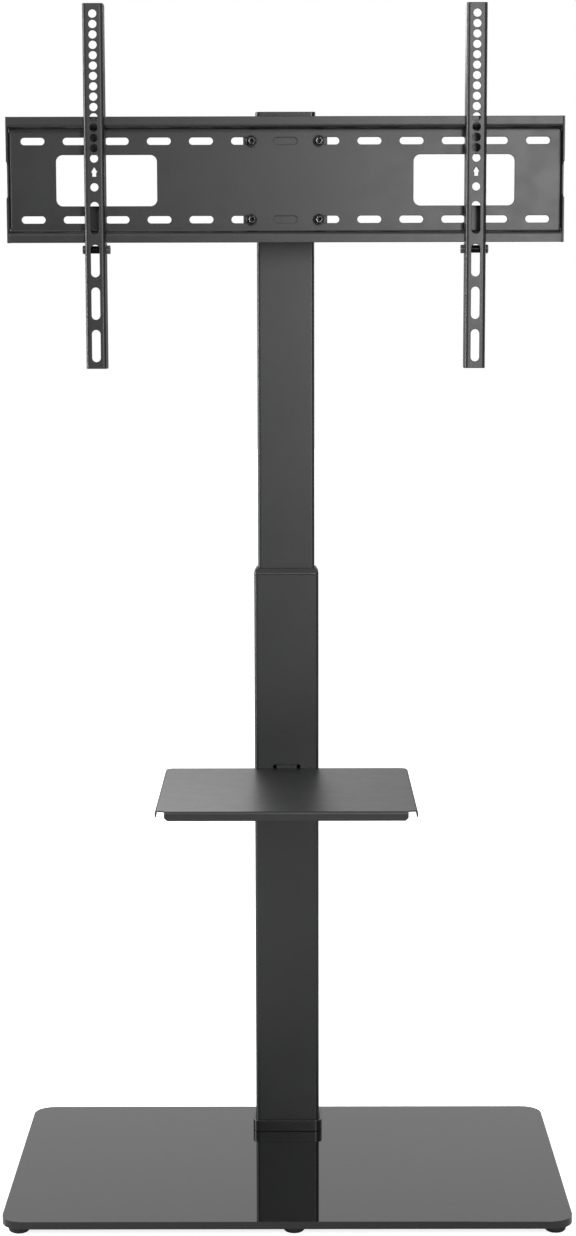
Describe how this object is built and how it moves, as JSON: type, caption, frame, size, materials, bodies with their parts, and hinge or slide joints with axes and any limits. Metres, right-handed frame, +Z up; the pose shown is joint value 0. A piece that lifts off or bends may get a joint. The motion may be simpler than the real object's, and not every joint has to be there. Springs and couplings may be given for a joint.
{
  "type": "floor television stand with swivel mount",
  "caption": "Floor TV stand: glass foot, telescoping steel column, shelf, and a swivelling hook-rail mount with sliding arms.",
  "frame": {"origin": "on the floor under the middle of the glass foot, which is the bottom centre of the whole object's box", "axes": "+Z up, the television side looks to -Y, +X to the right when the stand is seen from the front"},
  "size_m": [0.66, 0.4, 1.412],
  "materials": {
    "powder_coat": "fine-texture black powder coat on steel",
    "black_glass": "black tempered glass with polished edges",
    "black_zinc": "black zinc plated steel fasteners",
    "rubber": "moulded black rubber",
    "black_plastic": "moulded black plastic with a fine grain",
    "nylon": "natural nylon"
  },
  "bodies": {
    "stand": {"glass_base": "black_glass", "base_feet": "rubber", "base_gasket": "rubber", "base_support_plate": "powder_coat", "base_bolts": "black_zinc", "column_gasket": "rubber", "foot_block": "black_zinc", "base_collar": "black_plastic", "lower_column": "powder_coat", "column_bush": "black_plastic", "height_bolts": "black_zinc", "height_nuts": "black_zinc", "shelf_tray": "powder_coat", "shelf_bracket": "powder_coat"},
    "mast": {"upper_column": "powder_coat", "column_glide": "black_plastic", "column_cap": "black_plastic", "head_nut_strip": "black_zinc", "swivel_head": "powder_coat", "head_screws": "black_zinc", "swivel_bolt": "black_zinc", "swivel_washers": "nylon", "swivel_bolt_washers": "black_zinc", "swivel_nut": "black_zinc"},
    "mount": {"mount_plate": "powder_coat", "swivel_bracket": "powder_coat", "plate_bolts": "black_zinc", "plate_nuts": "black_zinc"},
    "left_slider": {"left_arm": "powder_coat", "left_lock_bolt": "black_zinc", "left_lock_sleeve": "black_zinc", "left_lock_nut": "black_zinc"},
    "right_slider": {"right_arm": "powder_coat", "right_lock_bolt": "black_zinc", "right_lock_sleeve": "black_zinc", "right_lock_nut": "black_zinc"}
  },
  "joints": [
    {"name": "height_slide", "type": "slide", "parent": "stand", "child": "mast", "axis": [0, 0, 1], "range_m": [-0.25, 0]},
    {"name": "swivel", "type": "hinge", "parent": "mast", "child": "mount", "pos_m": [0, 0.0835, 1.209], "axis": [0, 0, 1], "range_deg": [-35, 35]},
    {"name": "left_arm_slide", "type": "slide", "parent": "mount", "child": "left_slider", "axis": [1, 0, 0], "range_m": [-0.075, 0.125]},
    {"name": "right_arm_slide", "type": "slide", "parent": "mount", "child": "right_slider", "axis": [1, 0, 0], "range_m": [-0.125, 0.075]}
  ]
}
